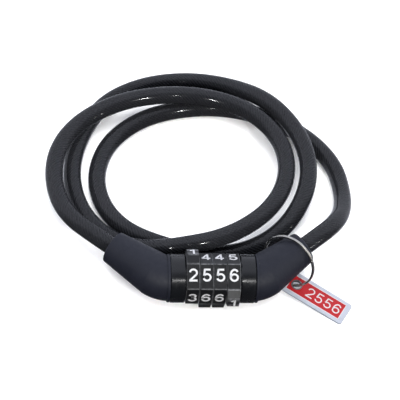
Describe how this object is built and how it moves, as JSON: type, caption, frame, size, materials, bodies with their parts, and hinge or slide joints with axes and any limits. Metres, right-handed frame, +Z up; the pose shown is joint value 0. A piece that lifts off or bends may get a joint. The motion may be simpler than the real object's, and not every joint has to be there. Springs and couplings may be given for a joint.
{
  "type": "cable lock",
  "caption": "Combination cable lock: hexagonal number dials between two moulded boots, with its plastic sheathed steel cable laid in loose turns, a split ring and a number tag.",
  "frame": {"origin": "on the ground straight under the middle of the four dials, on the lock's axis seen from above", "axes": "+X along the lock's axis towards the plug, +Y to the side where the coiled cable lies, +Z up"},
  "size_m": [0.1882, 0.1869, 0.0352],
  "materials": {
    "boot_plastic": "matte moulded plastic, fine texture",
    "collar_plastic": "glossy black",
    "dial_plastic": "satin black with worn grey edges and white digits",
    "gate_metal": "plain brass",
    "zinc": "die cast zinc",
    "ferrule_metal": "crimped aluminium",
    "spring_steel": "spring steel",
    "pin_steel": "plated steel",
    "cable_sheath": "smoky clear glossy PVC over the rope",
    "rope_steel": "stranded steel wire rope",
    "ring_nickel": "nickel plated",
    "tag_sleeve": "clear and white laminated plastic",
    "tag_card": "red printed card under a clear film"
  },
  "bodies": {
    "barrel": {"boot_left": "boot_plastic", "anchor_left": "zinc", "ferrule_left": "ferrule_metal", "roll_pin_left": "spring_steel", "collar_left": "collar_plastic", "core_tube": "zinc", "detent_spring": "spring_steel", "retaining_ring": "spring_steel", "spacer_rings": "spring_steel", "collar_right": "collar_plastic", "cable_sheath": "cable_sheath", "wire_rope": "rope_steel"},
    "plug": {"boot_right": "boot_plastic", "anchor_right": "zinc", "ferrule_right": "ferrule_metal", "roll_pin_right": "spring_steel", "lock_pin": "pin_steel"},
    "dial_1": {"dial_1": "dial_plastic", "gate_ring_1": "gate_metal"},
    "dial_2": {"dial_2": "dial_plastic", "gate_ring_2": "gate_metal"},
    "dial_3": {"dial_3": "dial_plastic", "gate_ring_3": "gate_metal"},
    "dial_4": {"dial_4": "dial_plastic", "gate_ring_4": "gate_metal"},
    "key_ring": {"key_ring": "ring_nickel"},
    "tag": {"tag_sleeve": "tag_sleeve", "tag_card": "tag_card", "tag_eyelet": "ring_nickel"}
  },
  "joints": [
    {"name": "plug_slide", "type": "slide", "parent": "barrel", "child": "plug", "axis": [1, 0, 0], "range_m": [0, 0.045], "deforming": ["cable_sheath", "wire_rope"]},
    {"name": "dial_1_spin", "type": "hinge", "parent": "barrel", "child": "dial_1", "pos_m": [-0.012, 0, 0.017], "axis": [1, 0, 0], "continuous": true, "deforming": ["detent_spring"]},
    {"name": "dial_2_spin", "type": "hinge", "parent": "barrel", "child": "dial_2", "pos_m": [-0.004, 0, 0.017], "axis": [1, 0, 0], "continuous": true, "deforming": ["detent_spring"]},
    {"name": "dial_3_spin", "type": "hinge", "parent": "barrel", "child": "dial_3", "pos_m": [0.004, 0, 0.017], "axis": [1, 0, 0], "continuous": true, "deforming": ["detent_spring"]},
    {"name": "dial_4_spin", "type": "hinge", "parent": "barrel", "child": "dial_4", "pos_m": [0.012, 0, 0.017], "axis": [1, 0, 0], "continuous": true, "deforming": ["detent_spring"]},
    {"name": "ring_swing", "type": "hinge", "parent": "plug", "child": "key_ring", "pos_m": [0.028, 0, 0.017], "axis": [0.809, 0.5523, 0.201], "range_deg": [-20, 30]},
    {"name": "tag_swing", "type": "hinge", "parent": "key_ring", "child": "tag", "pos_m": [0.05202, 0.00366, 0.00511], "axis": [0.7302, -0.3943, 0.558], "range_deg": [-11, 15]}
  ]
}
